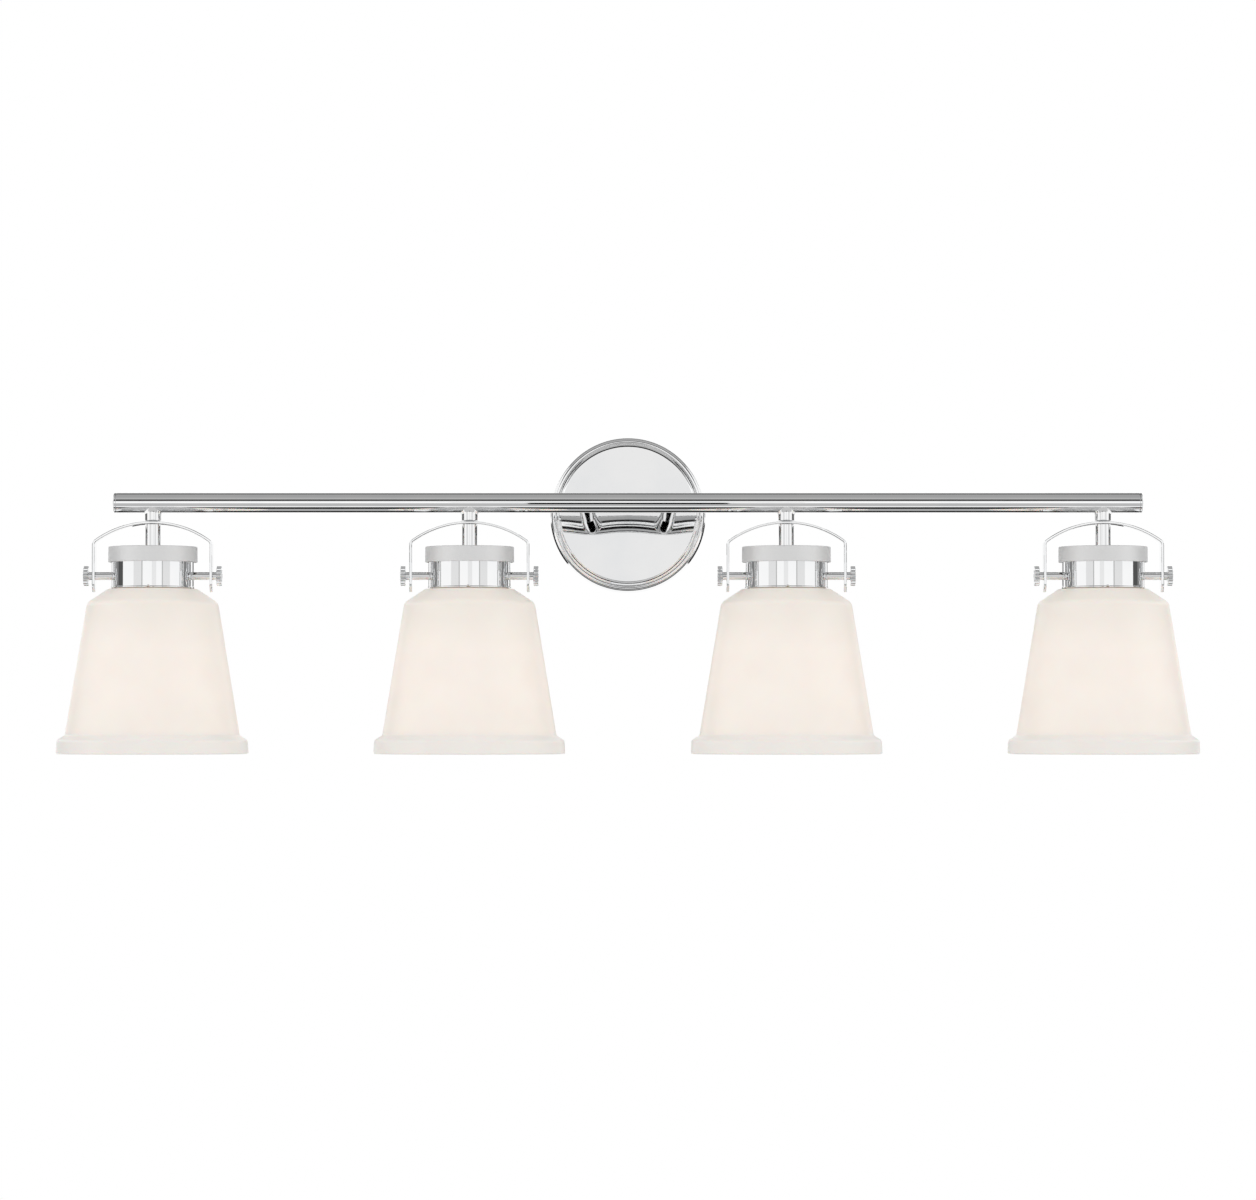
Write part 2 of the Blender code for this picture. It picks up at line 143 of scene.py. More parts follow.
def bump(tree, shader, height, depth_mm, strength=1.0):
    """Raises the surface where height is 1, by depth_mm at full strength."""
    node = add_node(tree, "ShaderNodeBump", links=[(height, "Height")],
                    inputs={"Distance": depth_mm / 1000, "Strength": strength})
    tree.links.new(node.outputs["Normal"], shader.inputs["Normal"])


def own_place(tree):
    """Where a point is in its own piece, in metres."""
    return add_node(tree, "ShaderNodeTexCoord").outputs["Object"]


# ---------------------------------------------------------------- materials

def chrome_plate():
    """Bright chromium over polished nickel: a cool mirror. The polished base leaves a faint long wave in
    it, and buffing leaves a haze that varies over a few centimetres."""
    material, tree, shader = new_material("chrome plate", Metallic=1.0)
    place = own_place(tree)
    haze = noise(tree, place, 35.0, detail=3.0)
    tree.links.new(ramp(tree, haze, (0.35, "f3f4f5"), (0.65, "f8f8f8")), shader.inputs["Base Color"])
    tree.links.new(spread(tree, haze, 0.012, 0.030), shader.inputs["Roughness"])
    bump(tree, shader, noise(tree, place, 24.0, detail=0.0), 0.008)
    return material


def satin_nickel():
    """Cast cap, bead-blasted and lacquered matt: an even light grey with a fine grain and no mirror image."""
    material, tree, shader = new_material("bead-blasted satin nickel", Metallic=0.55)
    place = own_place(tree)
    grain = noise(tree, place, 0.55, detail=2.0)
    cloud = noise(tree, place, 14.0, detail=2.0)
    tree.links.new(ramp(tree, grain, (0.033, "e0e0e0"), (0.967, "ebebeb")), shader.inputs["Base Color"])
    tree.links.new(spread(tree, cloud, 0.44, 0.56), shader.inputs["Roughness"])
    bump(tree, shader, grain, 0.02, 0.5)
    return material


def opal_glass():
    """Pressed opal glass, acid-etched outside: milky and soft. A painted glow, emission that changes with
    height, stands in for the lit lamp's light through the wall: warmest nearest the lamp, cooler at the thick
    rim and the neck."""
    material, tree, shader = new_material("etched opal glass", IOR=1.5, Subsurface_Weight=0.25,
                                          Subsurface_Scale=0.004, Emission_Strength=1.0)
    place = own_place(tree)
    mottle = noise(tree, place, 30.0, detail=2.0)
    tree.links.new(ramp(tree, mottle, (0.3, "e4dfd9"), (0.7, "e7e3dd")), shader.inputs["Base Color"])
    tree.links.new(spread(tree, noise(tree, place, 0.9), 0.34, 0.40), shader.inputs["Roughness"])
    low, high = node_box("shade_1")
    split = add_node(tree, "ShaderNodeSeparateXYZ", links=[(place, "Vector")])
    # 0 at the rim's foot and 1 at the shoulder
    rise = add_node(tree, "ShaderNodeMapRange", links=[(split.outputs["Z"], "Value")],
                    inputs={"From Min": low.z / 1000, "From Max": (high.z - NECK_DEPTH) / 1000})
    # Painted glow: emission set by height stands in for the lamp's light shining through the glass
    glow = ramp(tree, rise.outputs["Result"], (0.0, "545657"), (0.095, "545657"), (0.14, "6b635a"),
                (0.40, "756b62"), (0.62, "756b62"), (0.84, "655e54"), (1.0, "5e584f"))
    tree.links.new(glow, shader.inputs["Emission Color"])
    bump(tree, shader, noise(tree, place, 0.7, detail=1.0), 0.01, 0.35)
    return material


def frosted_lamp_glass():
    """Soda-lime bulb frosted inside, lit: an even warm white."""
    material, tree, shader = new_material("frosted lamp glass", IOR=1.5, Coat_Weight=0.4,
                                          Coat_Roughness=0.05, Emission_Strength=0.55)
    place = own_place(tree)
    cloud = noise(tree, place, 18.0)
    tree.links.new(ramp(tree, cloud, (0.3, "f1ebe0"), (0.7, "f6f1e8")), shader.inputs["Base Color"])
    tree.links.new(ramp(tree, cloud, (0.3, "fff0d8"), (0.7, "fff4e2")), shader.inputs["Emission Color"])
    tree.links.new(spread(tree, cloud, 0.30, 0.42), shader.inputs["Roughness"])
    return material


def rolled_brass():
    """The lamp's screw shell, nickelled brass, rolled: soft streaks round the shell."""
    material, tree, shader = new_material("nickelled brass shell", Metallic=1.0)
    place = own_place(tree)
    streak = add_node(tree, "ShaderNodeMapping", links=[(place, "Vector")],
                      inputs={"Scale": (1.0, 1.0, 12.0)})
    lines = noise(tree, streak.outputs["Vector"], 9.0, detail=4.0)
    tree.links.new(ramp(tree, lines, (0.3, "b9b4a8"), (0.7, "cfccc2")), shader.inputs["Base Color"])
    tree.links.new(spread(tree, lines, 0.18, 0.34), shader.inputs["Roughness"])
    return material


def moulded_phenolic():
    """Black phenolic, compression-moulded: dense, slightly glossy, with faint flow mottle."""
    material, tree, shader = new_material("black moulded phenolic", IOR=1.6)
    place = own_place(tree)
    flow = noise(tree, place, 6.0, detail=4.0)
    tree.links.new(ramp(tree, flow, (0.3, "161514"), (0.7, "211f1d")), shader.inputs["Base Color"])
    tree.links.new(spread(tree, flow, 0.32, 0.46), shader.inputs["Roughness"])
    bump(tree, shader, noise(tree, place, 1.2), 0.03, 0.4)
    return material


def bright_zinc():
    """Steel stamping, zinc plated and clear passivated: bluish, with the spangle and the drawing lines
    of the sheet under it."""
    material, tree, shader = new_material("bright zinc plate", Metallic=1.0)
    place = own_place(tree)
    cells = add_node(tree, "ShaderNodeTexVoronoi", links=[(place, "Vector")], inputs={"Scale": 1000 / 4.0})
    drawn = add_node(tree, "ShaderNodeMapping", links=[(place, "Vector")],
                     inputs={"Scale": (0.08, 1.0, 1.0)})
    lines = noise(tree, drawn.outputs["Vector"], 0.8, detail=3.0)
    tree.links.new(ramp(tree, cells.outputs["Distance"], (0.0, "a9b0b6"), (1.0, "c0c6ca")),
                   shader.inputs["Base Color"])
    tree.links.new(spread(tree, lines, 0.22, 0.42), shader.inputs["Roughness"])
    bump(tree, shader, lines, 0.01, 0.4)
    return material


def green_lacquer():
    """Earth screw in green lacquer over steel."""
    material, tree, shader = new_material("green lacquered steel", IOR=1.5, Coat_Weight=0.3)
    place = own_place(tree)
    wear = noise(tree, place, 1.6, detail=3.0)
    tree.links.new(ramp(tree, wear, (0.3, "1d6b3a"), (0.7, "2a7d48")), shader.inputs["Base Color"])
    tree.links.new(spread(tree, wear, 0.28, 0.45), shader.inputs["Roughness"])
    return material


def wire_insulation():
    """Silicone-jacketed lead, extruded: satin white with a faint draw line."""
    material, tree, shader = new_material("white silicone insulation", IOR=1.41)
    place = own_place(tree)
    mark = noise(tree, place, 3.0, detail=2.0)
    tree.links.new(ramp(tree, mark, (0.3, "dcdad4"), (0.7, "e8e6e1")), shader.inputs["Base Color"])
    tree.links.new(spread(tree, mark, 0.38, 0.50), shader.inputs["Roughness"])
    return material


MATERIAL = {}


def make_materials():
    makers = {"chrome": chrome_plate, "satin": satin_nickel, "opal": opal_glass,
              "lamp": frosted_lamp_glass, "shell": rolled_brass, "phenolic": moulded_phenolic,
              "zinc": bright_zinc, "green": green_lacquer, "wire": wire_insulation}
    for key, maker in makers.items():
        MATERIAL[key] = maker()


# ---------------------------------------------------------------- mesh helpers

def add_object(name, data):
    """An object in the scene's own collection."""
    thing = bpy.data.objects.new(name, data)
    bpy.context.scene.collection.objects.link(thing)
    return thing


def mesh_from(shape):
    """A bmesh as a mesh. add_piece gives it its piece's name."""
    mesh = bpy.data.meshes.new("mesh")
    shape.to_mesh(mesh)
    shape.free()
    return mesh


def evaluated_mesh(thing):
    """The object's mesh with its modifiers or bevel applied."""
    return bpy.data.meshes.new_from_object(thing.evaluated_get(bpy.context.evaluated_depsgraph_get()))


def smoothed(mesh, sharp=30):
    """The mesh shaded smooth, but for its edges over sharp degrees."""
    mesh.shade_smooth()
    mesh.set_sharp_from_angle(angle=math.radians(sharp))
    return mesh


def arc(centre, radius, start, end, count=6):
    """Points (r, z) along an arc about centre, angles in degrees from the +r axis."""
    points = []
    for i in range(count):
        angle = math.radians(start + (end - start) * i / (count - 1))
        points.append((centre[0] + radius * math.cos(angle), centre[1] + radius * math.sin(angle)))
    return points


def rounded(corners, steps=5, closed=True):
    """An outline through (r, z) or (r, z, fillet) corners, each fillet an arc that meets both sides."""
    outline = []
    count = len(corners)
    for i, corner in enumerate(corners):
        if len(corner) == 2 or (not closed and i in (0, count - 1)):
            outline.append(tuple(corner[:2]))
            continue
        here = Vector(corner[:2])
        back = (Vector(corners[i - 1][:2]) - here).normalized()
        ahead = (Vector(corners[(i + 1) % count][:2]) - here).normalized()
        half = back.angle(ahead) / 2
        reach = corner[2] / math.tan(half)
        centre = here + (back + ahead).normalized() * corner[2] / math.sin(half)
        first = here + back * reach - centre
        last = here + ahead * reach - centre
        for k in range(steps + 1):
            spoke = first.lerp(last, k / steps).normalized() * corner[2]
            outline.append(tuple(centre + spoke))
    return outline


def even_angles(count):
    """count places round a circle, in radians."""
    return [2 * math.pi * k / count for k in range(count)]


def turned(outline, sides=96, closed=True, warp=None, angles=None, sharp=30):
    """The mesh of an (r, z) outline turned about Z, down its outer side first. An open outline starts and
    ends on the axis. warp(r, z, angle) can move each point; angles are the places of the columns."""
    shape = bmesh.new()
    angles = angles or even_angles(sides)
    rings = []
    for r, z in outline:
        if abs(r) < 1e-6:
            rings.append([shape.verts.new((0, 0, z / 1000))])
            continue
        ring = []
        for angle in angles:
            across, up = warp(r, z, angle) if warp else (r, z)
            ring.append(shape.verts.new((across * math.cos(angle) / 1000,
                                         across * math.sin(angle) / 1000, up / 1000)))
        rings.append(ring)
    pairs = list(zip(rings, rings[1:]))
    if closed:
        pairs.append((rings[-1], rings[0]))
    count = len(angles)
    for upper, lower in pairs:
        for k in range(count):
            following = (k + 1) % count
            corners = []
            for ring, place in ((upper, k), (lower, k), (lower, following), (upper, following)):
                vertex = ring[place % len(ring)]
                if vertex not in corners:
                    corners.append(vertex)
            if len(corners) > 2:
                shape.faces.new(corners)
    bmesh.ops.recalc_face_normals(shape, faces=shape.faces)
    return smoothed(mesh_from(shape), sharp)


def swept(path, section, across):
    """The mesh of a closed section of (along, out) points carried along path. A path point is a place and
    how wide the section is there, from 0 to 1. across is the direction that the width keeps."""
    shape = bmesh.new()
    across = Vector(across)
    rings = []
    for i, (place, width) in enumerate(path):
        ahead = (path[min(i + 1, len(path) - 1)][0] - path[max(i - 1, 0)][0]).normalized()
        out = across.cross(ahead).normalized()
        rings.append([shape.verts.new((place + across * along * width + out * up) / 1000)
                      for along, up in section])
    for first, second in zip(rings, rings[1:]):
        for k in range(len(section)):
            following = (k + 1) % len(section)
            shape.faces.new((first[k], first[following], second[following], second[k]))
    shape.faces.new(rings[0])
    shape.faces.new(rings[-1])
    bmesh.ops.recalc_face_normals(shape, faces=shape.faces)
    return smoothed(mesh_from(shape), sharp=40)


def strip_section(width, thick, edge):
    """Flat strip metal with softened edges."""
    w, t = width / 2, thick / 2
    return rounded([(w, t, edge), (w, -t, edge), (-w, -t, edge), (-w, t, edge)], steps=3)


def rod(radius, start, end, sides=40):
    """A cylinder mesh between two points, for cutting."""
    start, end = Vector(start) / 1000, Vector(end) / 1000
    shape = bmesh.new()
    turn = (end - start).to_track_quat("Z", "Y").to_matrix().to_4x4()
    bmesh.ops.create_cone(shape, cap_ends=True, segments=sides, radius1=radius / 1000,
                          radius2=radius / 1000, depth=(end - start).length,
                          matrix=Matrix.Translation((start + end) / 2) @ turn)
    return mesh_from(shape)


def block(low, high):
    """A box mesh between two corners, for cutting."""
    low, high = Vector(low) / 1000, Vector(high) / 1000
    shape = bmesh.new()
    bmesh.ops.create_cube(shape, size=1.0, matrix=Matrix.Translation((low + high) / 2)
                          @ Matrix.Diagonal((*(high - low), 1.0)))
    return mesh_from(shape)


def carved(mesh, *cutters):
    """A copy of mesh with the cutters' meshes taken away."""
    body = add_object("body", mesh)
    tools = [add_object("cutter", cutter) for cutter in cutters]
    for tool in tools:
        cut = body.modifiers.new("Cut", "BOOLEAN")
        cut.operation = "DIFFERENCE"
        cut.object = tool
    result = evaluated_mesh(body)
    for thing in (body, *tools):
        bpy.data.objects.remove(thing)
    return smoothed(result)


def tube_along(places, radius):
    """The mesh of a round wire through places, its ends cut flat."""
    curve = bpy.data.curves.new("wire", "CURVE")
    curve.dimensions = "3D"
    curve.bevel_depth = radius / 1000
    curve.bevel_resolution = 5
    curve.use_fill_caps = True
    spline = curve.splines.new("POLY")
    spline.points.add(len(places) - 1)
    for point, place in zip(spline.points, places):
        point.co = (*(place / 1000), 1.0)
    wire = add_object("wire", curve)
    mesh = evaluated_mesh(wire)
    bpy.data.objects.remove(wire)
    return smoothed(mesh, sharp=40)


def smooth_route(corners, per_span=10):
    """Points along a Catmull-Rom curve through the corners."""
    corners = [Vector(corner) for corner in corners]
    padded = [2 * corners[0] - corners[1]] + corners + [2 * corners[-1] - corners[-2]]
    route = []
    for a, b, c, d in zip(padded, padded[1:], padded[2:], padded[3:]):
        for i in range(per_span):
            t = i / per_span
            route.append(0.5 * (2 * b + (c - a) * t + (2 * a - 5 * b + 4 * c - d) * t ** 2
                                + (3 * b - a - 3 * c + d) * t ** 3))
    return route + [corners[-1]]


PLACED = []                 # what add_piece was given, so that one head's pieces can be repeated


def add_piece(name, mesh, material, slot, stands_for=(), body="root", at=(0, 0, 0), turn=(0, 0, 0)):
    """A piece placed in millimetres and degrees, riding on a body and standing for CAD nodes."""
    PLACED.append((name, mesh, material, slot, stands_for, body, at, turn))
    mesh.name = name
    piece = add_object(name, mesh)
    piece.location = Vector(at) / 1000
    piece.rotation_euler = [math.radians(angle) for angle in turn]
    mesh.materials.clear()
    mesh.materials.append(MATERIAL[material])
    even = piece.modifiers.new("Even normals", "WEIGHTED_NORMAL")
    even.keep_sharp = True
    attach(piece, body)
    if stands_for:
        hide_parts(*stands_for)
    return piece


# ---------------------------------------------------------------- bar, plugs and arms

def saddle(flat, end):
    """Ends a turned piece on the bar's round side: its points from flat to end are drawn on to meet it."""
    def warp(r, z, angle):
        share = min(max((z - flat) / (end - flat), 0.0), 1.0)
        rise = BAR_R - math.sqrt(BAR_R ** 2 - min(abs(r * math.sin(angle)), BAR_R * 0.999) ** 2)
        return r, z + math.copysign(share * rise, end - flat)
    return warp


def make_bar():
    """The tube, open at both ends, and a domed plug in each end."""
    low, high = node_box("bar")
    half = (high.x - low.x) / 2
    inner = BAR_R - 1.2
    wall = rounded([(BAR_R, half, 0.25), (BAR_R, -half, 0.25), (inner, -half), (inner, half)])
    add_piece("bar_tube", turned(wall, sides=128), "chrome", "chrome", ["bar"], at=BAR, turn=(0, 90, 0))
    for side, sign in SIDES:
        low, high = node_box(f"end_plug_{side}")
        tip = max(abs(low.x), abs(high.x))
        root = min(abs(low.x), abs(high.x))
        seat = half + GAP
        plug = rounded([(0, tip), (BAR_R * 0.5, tip - 0.02), (BAR_R, tip - 0.1, 0.7), (BAR_R, seat, 0.2),
                        (inner - 0.2, seat), (inner - 0.2, root, 0.6), (0, root)], closed=False)
        add_piece(f"bar_plug_{side}", turned(plug, sides=128, closed=False), "chrome", "chrome",
                  [f"end_plug_{side}"], at=(0, BAR.y, 0), turn=(0, 90 * sign, 0))


def make_arms():
    """Two tubes from the backplate to the bar, flared where they are brazed to it. A narrower spigot goes
    through the plate to the lock nut."""
    spigot_r, bore_r = 4.8, 3.5
    for side, _ in SIDES:
        low, high = node_box(f"arm_{side}")
        x = (low.x + high.x) / 2
        radius = (high.x - low.x) / 2
        spigot_end = -high.y
        face = -node_box("backplate")[0].y + GAP
        near = BAR_OUT - BAR_R
        outline = rounded([(radius + 0.55, near, 0.1), (radius, near - 0.9, 0.9), (radius, face, 0.5),
                           (spigot_r, face), (spigot_r, spigot_end, 0.4), (bore_r, spigot_end),
                           (bore_r, near)])
        arm = turned(outline, warp=saddle(near - 10, near))
        add_piece(f"arm_tube_{side}", arm, "chrome", "chrome", [f"arm_{side}"], at=(x, 0, 0), turn=(90, 0, 0))
        make_arm_nut(side, x)


def make_arm_nut(side, x):
    """A hexagon nut, its corners chamfered on both faces."""
    low, high = node_box(f"arm_nut_{side}")
    thick = high.y - low.y
    flat = 8.0
    chamfer_r = 8.9

    def hexagon(r, z, angle):
        if r < flat - 0.1:
            return r, z
        reach = flat / math.cos((angle + math.pi / 6) % (math.pi / 3) - math.pi / 6)
        return (reach if 0.3 < z < thick - 0.3 else min(reach, chamfer_r)), z

    outline = [(5.5, thick), (8.4, thick), (8.5, thick - 0.7), (8.5, 0.7), (8.4, 0), (5.5, 0), (5.0, 0.5),
               (5.0, thick - 0.5)]
    nut = turned(outline, sides=72, warp=hexagon)
    add_piece(f"lock_nut_{side}", nut, "zinc", "zinc_steel", [f"arm_nut_{side}"], at=(x, high.y, 0),
              turn=(90, 0, 0))


# ---------------------------------------------------------------- backplate and what it hides

def drawn_in(x, z):
    """How far the lock nuts draw the sheet in, in millimetres: two shallow dimples round the arms."""
    deepest, wide = 0.16, 16.12
    pull = 0.0
    for side, _ in SIDES:
        arm = middle_of(f"arm_{side}").x
        pull += math.exp(-((x - arm) ** 2 + z ** 2) / wide ** 2)
    return deepest * pull


def make_backplate():
    """The drawn pan: a flat face, a step, a bead and a skirt to the wall, with a screw at each side."""
    low, high = node_box("backplate")
    radius = (high.x - low.x) / 2
    depth = high.y - low.y
    face_r = radius - 7.9
    wall = 1.2
    crown = 0.25

    face = []
    for share in [i / 25 for i in range(25)] + [0.994, 1.0]:
        face.append((face_r * share, depth - crown * share ** 2))
    edge = depth - crown
    step = rounded([(face_r, edge), (face_r + 1.0, edge - 0.25, 0.35), (face_r + 1.5, edge - 2.3, 0.3),
                    (face_r + 2.6, edge - 2.7, 0.3), (face_r + 2.8, edge - 2.2)], closed=False)[1:-1]
    bead = arc((radius - 3.9, depth - 5.5), 2.75, 118, 8, 14)
    skirt = rounded([bead[-1], (radius - 1.15, depth - 6.6, 0.3), (radius - 0.05, 1.0, 0.5),
                     (radius, 0.0, 0.25), (radius - 2.9, 0.0)], closed=False)[1:]
    inside = [(radius - 2.9, wall), (radius - wall - 0.2, wall + 0.2), (radius - 2.5, depth - 6.2),
              (radius - 4.2, depth - 4.5), (face_r + 0.6, depth - 4.5), (face_r - 0.4, depth - wall - crown),
              (0, depth - wall)]

    def dimple(r, z, angle):
        if r > face_r or z < depth / 2:
            return r, z
        return r, z - drawn_in(r * math.cos(angle), r * math.sin(angle)) * (1 - (r / face_r) ** 4)

    pan = turned(face + step + bead + skirt + inside, sides=192, closed=False, warp=dimple)
    screw = middle_of("set_screw_right")
    # The screws' depth is along the pan's own axis, which stands for -Y.
    holes = [rod(2.15, (sign * (radius + 3), 0, -screw.y), (sign * (radius - 6), 0, -screw.y))
             for _, sign in SIDES]
    add_piece("backplate_pan", carved(pan, *holes), "chrome", "chrome", ["backplate"], turn=(90, 0, 0))
    for side, sign in SIDES:
        make_set_screw(side, sign)


def make_set_screw(side, sign):
    """A headless slotted screw through the pan's skirt into the strip's ear."""
    low, high = node_box(f"set_screw_{side}")
    middle = (low + high) / 2
    radius = (high.z - low.z) / 2
    tip = min(abs(low.x), abs(high.x))
    head = max(abs(low.x), abs(high.x))
    outline = rounded([(0, head), (radius, head, 0.25), (radius, tip + 1, 0.1), (radius - 1.2, tip),
                       (0, tip)], closed=False)
    slot = block((-radius - 1, -0.3, head - 0.9), (radius + 1, 0.3, head + 1))
    screw = carved(turned(outline, sides=32, closed=False), slot)
    add_piece(f"rim_screw_{side}", screw, "zinc", "zinc_steel", [f"set_screw_{side}"],
              at=(0, middle.y, 0), turn=(0, 90 * sign, 0))


def make_crossbar():
    """The strip that is screwed to the wall box, its ears turned up to take the pan's screws."""
    low, high = node_box("crossbar")
    half, ear, width = high.x, -low.y, high.z - low.z
    thick = 2.0
    bend = 2.2
    slot_x, slot_half, slot_r = 39.7, 4.8, 2.4      # for screws 2-3/4 in and 3-1/2 in apart
    screw_hole_r = 2.2
    left = Vector((-half + thick / 2, 0, 0))
    path = [(Vector((left.x, -ear, 0)), 0.72), (Vector((left.x, -ear + 0.8, 0)), 0.9),
            (Vector((left.x, -ear + 2.2, 0)), 1.0)]
    for x, z in arc((left.x + bend, thick / 2 + bend), bend, 180, 270, 6):
        path.append((Vector((x, -z, 0)), 1.0))
    path += [(Vector((-place.x, place.y, 0)), size) for place, size in reversed(path)]
    strip = swept(path, strip_section(width, thick, 0.3), across=(0, 0, 1))
    cutters = []
    for _, sign in SIDES:
        ends = [sign * slot_x - slot_half, sign * slot_x + slot_half]
        cutters += [rod(slot_r, (x, 1, 0), (x, -4, 0)) for x in ends]
        cutters.append(block((ends[0], -4, -slot_r), (ends[1], 1, slot_r)))
        screw = middle_of(f"set_screw_{'left' if sign < 0 else 'right'}")
        cutters.append(rod(screw_hole_r, (sign * (half - 5), screw.y, 0), (sign * (half + 3), screw.y, 0)))
    ground = middle_of("ground_screw")
    cutters.append(rod(screw_hole_r, (ground.x, 1, 0), (ground.x, -4, 0)))
    add_piece("mounting_strip", carved(strip, *cutters), "zinc", "zinc_steel", ["crossbar"])
    make_earth_screw(ground.x, thick)


def make_earth_screw(x, strip_thick):
    """A combination head, slotted and crossed, on the strip."""
    low, high = node_box("ground_screw")
    head, foot, radius = -low.y, -high.y, (high.x - low.x) / 2
    outline = rounded([(0, head), (radius * 0.55, head - 0.12, 1.0), (radius, head - 1.1, 0.4),
                       (radius, strip_thick + GAP, 0.2), (1.9, strip_thick + GAP), (1.9, foot, 0.3),
                       (0, foot)], closed=False)
    slots = [block((-radius - 1, -0.45, head - 1.2), (radius + 1, 0.45, head + 1)),
             block((-0.45, -1.6, head - 1.3), (0.45, 1.6, head + 1))]
    screw = carved(turned(outline, sides=48, closed=False), *slots)
    add_piece("earth_screw", screw, "green", "ground_green", ["ground_screw"], at=(x, 0, 0),
              turn=(90, 0, 0))


# ---------------------------------------------------------------- one head's metalwork

STEM_BORE_R = 4.3           # clears the threaded nipple inside
SCREW_HOLE_R = 3.0          # clears the thumbscrews


def make_collar(n, at):
    """The short tube brazed to the bar's underside, above the strap."""
    low, high = node_box(f"collar_{n}")
    radius = (high.x - low.x) / 2
    end = low.z
    outline = rounded([(radius + 0.75, -BAR_R - 0.03, 0.12), (radius, -BAR_R - 1.5, 1.6), (radius, end, 0.45),
                       (STEM_BORE_R, end), (STEM_BORE_R, -BAR_R)])
    collar = turned(outline, warp=saddle(end, -BAR_R))
    add_piece(f"collar_ring_{n}", collar, "chrome", "chrome", [f"collar_{n}"], at=at)


def make_strap(n, at):
    """Strip bent over a wide crown and down two straight legs, whose feet are half rounds."""
    low, high = node_box(f"strap_{n}")
    crown_r, bend_r, width = 69.0, 3.8, high.y - low.y
    thick = STRAP_THICK
    leg = (high.x - low.x) / 2 - thick / 2
    crown = high.z - thick / 2
    foot = low.z
    inner = crown_r - bend_r
    lean = math.degrees(math.asin((leg - bend_r) / inner))
    up = crown - crown_r + inner * math.cos(math.radians(lean))
    half = []
    for i in range(9):
        turn = math.radians(90 * i / 8)
        half.append(((leg, foot + width / 2 * (1 - math.cos(turn))), max(math.sin(turn), 0.04)))
    half += [(point, 1.0) for point in [(leg, foot + width), (leg, foot + 2 * width)]]
    half += [(point, 1.0) for point in arc((leg - bend_r, up), bend_r, 0, 90 - lean, 12)]
    half += [(point, 1.0) for point in arc((0, crown - crown_r), crown_r, 90 - lean, 90, 28)[1:]]
    path = [(Vector((x, 0, z)), size) for (x, z), size in half]
    path += [(Vector((-place.x, 0, place.z)), size) for place, size in reversed(path[:-1])]
    strip = swept(path, strip_section(width, thick, 0.6), across=(0, 1, 0))
    screw = middle_of(f"thumbscrew_left_{n}").z
    holes = [rod(SCREW_HOLE_R, (x - 4, 0, screw), (x + 4, 0, screw)) for x in (-leg, leg)]
    holes.insert(0, rod(STEM_BORE_R, (0, 0, crown - 4), (0, 0, crown + 4)))
    add_piece(f"yoke_strap_{n}", carved(strip, *holes), "chrome", "chrome", [f"strap_{n}"], at=at)


def make_stem(n, at):
    """The spacer tube between the strap and the cap."""
    low, high = node_box(f"stem_{n}")
    radius = (high.x - low.x) / 2
    top = node_box(f"strap_{n}")[1].z - STRAP_THICK - GAP
    outline = rounded([(radius, top, 0.35), (radius, low.z, 0.35), (STEM_BORE_R, low.z), (STEM_BORE_R, top)])
    add_piece(f"stem_tube_{n}", turned(outline), "chrome", "chrome", [f"stem_{n}"], at=at)


def make_cap(n, at):
    """The satin lid over the holder."""
    low, high = node_box(f"cap_{n}")
    radius = (high.x - low.x) / 2
    top, end, wall = high.z, low.z, 1.2
    outline = rounded([(STEM_BORE_R, top), (radius * 0.6, top - 0.02), (radius - 0.1, top - 0.25, 0.6),
                       (radius, end, 0.2), (radius - wall, end, 0.3), (radius - wall, top - wall, 0.8),
                       (STEM_BORE_R, top - wall)])
    add_piece(f"satin_cap_{n}", turned(outline, sides=144), "satin", "satin_grey", [f"cap_{n}"], at=at)


def make_holder(n, at):
    """The deep-drawn cup that takes the glass: rolled at its mouth, with a small key slot at the front."""
    low, high = node_box(f"holder_{n}")
    radius = (high.x - low.x) / 2
    top, end, wall = high.z, low.z, 1.0
    front = 1.5 * math.pi
    slot_half, slot_height, slot_fades = 2.0, 1.1, 2.5      # degrees, then millimetres
    slot_angles = {front + math.radians(0.24 * k) for k in range(-10, 11)}
    angles = sorted(set(even_angles(160)) | slot_angles)

    def key_slot(r, z, angle):
        off = math.degrees(angle - front) / slot_half
        if z > end + slot_fades or abs(off) > 1.0:
            return r, z
        return r, z + slot_height * math.sqrt(1 - off ** 2) * (1 - (z - end) / slot_fades)

    outline = rounded([(STEM_BORE_R, top), (radius, top, 1.0), (radius, end + 2.6), (radius, end + 1.1, 0.3),
                       (radius + 0.35, end + 0.7, 0.3), (radius + 0.35, end, 0.3), (radius - wall, end, 0.3),
                       (radius - wall, end + 2.6), (radius - wall, top - wall, 0.6),
                       (STEM_BORE_R, top - wall)])
    cup = turned(outline, angles=angles, warp=key_slot)
    screw = middle_of(f"thumbscrew_left_{n}").z
    holes = [rod(SCREW_HOLE_R, (sign * (radius - 4), 0, screw), (sign * (radius + 4), 0, screw))
             for _, sign in SIDES]
    add_piece(f"fitter_cup_{n}", carved(cup, *holes), "chrome", "chrome", [f"holder_{n}"], at=at)


